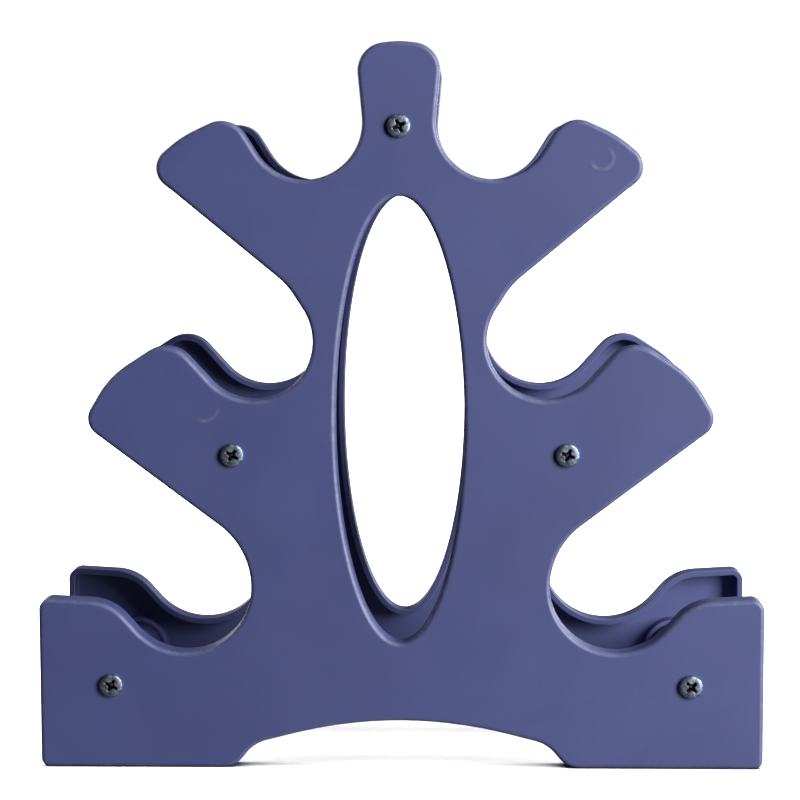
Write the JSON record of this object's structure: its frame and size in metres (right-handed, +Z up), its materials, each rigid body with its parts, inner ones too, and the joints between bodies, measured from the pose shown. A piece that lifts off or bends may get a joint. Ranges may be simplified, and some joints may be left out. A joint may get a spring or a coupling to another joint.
{
  "type": "dumbbell rack",
  "caption": "Tree-shaped dumbbell rack: matching moulded plastic panels with open cradles stacked on either side, held apart by spacer tubes and screws.",
  "frame": {"origin": "on the floor, in the middle of the footprint", "axes": "+Z up, +X to the right as seen from the front, +Y from the front panel to the rear panel"},
  "size_m": [0.34, 0.1042, 0.339],
  "materials": {
    "panel_plastic": "satin moulded, purple blue",
    "tube_plastic": "satin moulded, purple blue",
    "screw_zinc": "zinc plated"
  },
  "bodies": {
    "root": {"front_panel": "panel_plastic", "rear_panel": "panel_plastic", "spacer_tube_top": "tube_plastic", "spacer_tube_mid_left": "tube_plastic", "spacer_tube_mid_right": "tube_plastic", "spacer_tube_base_left": "tube_plastic", "spacer_tube_base_right": "tube_plastic", "screw_front_top": "screw_zinc", "screw_front_mid_left": "screw_zinc", "screw_front_mid_right": "screw_zinc", "screw_front_base_left": "screw_zinc", "screw_front_base_right": "screw_zinc", "screw_rear_top": "screw_zinc", "screw_rear_mid_left": "screw_zinc", "screw_rear_mid_right": "screw_zinc", "screw_rear_base_left": "screw_zinc", "screw_rear_base_right": "screw_zinc"}
  },
  "joints": []
}
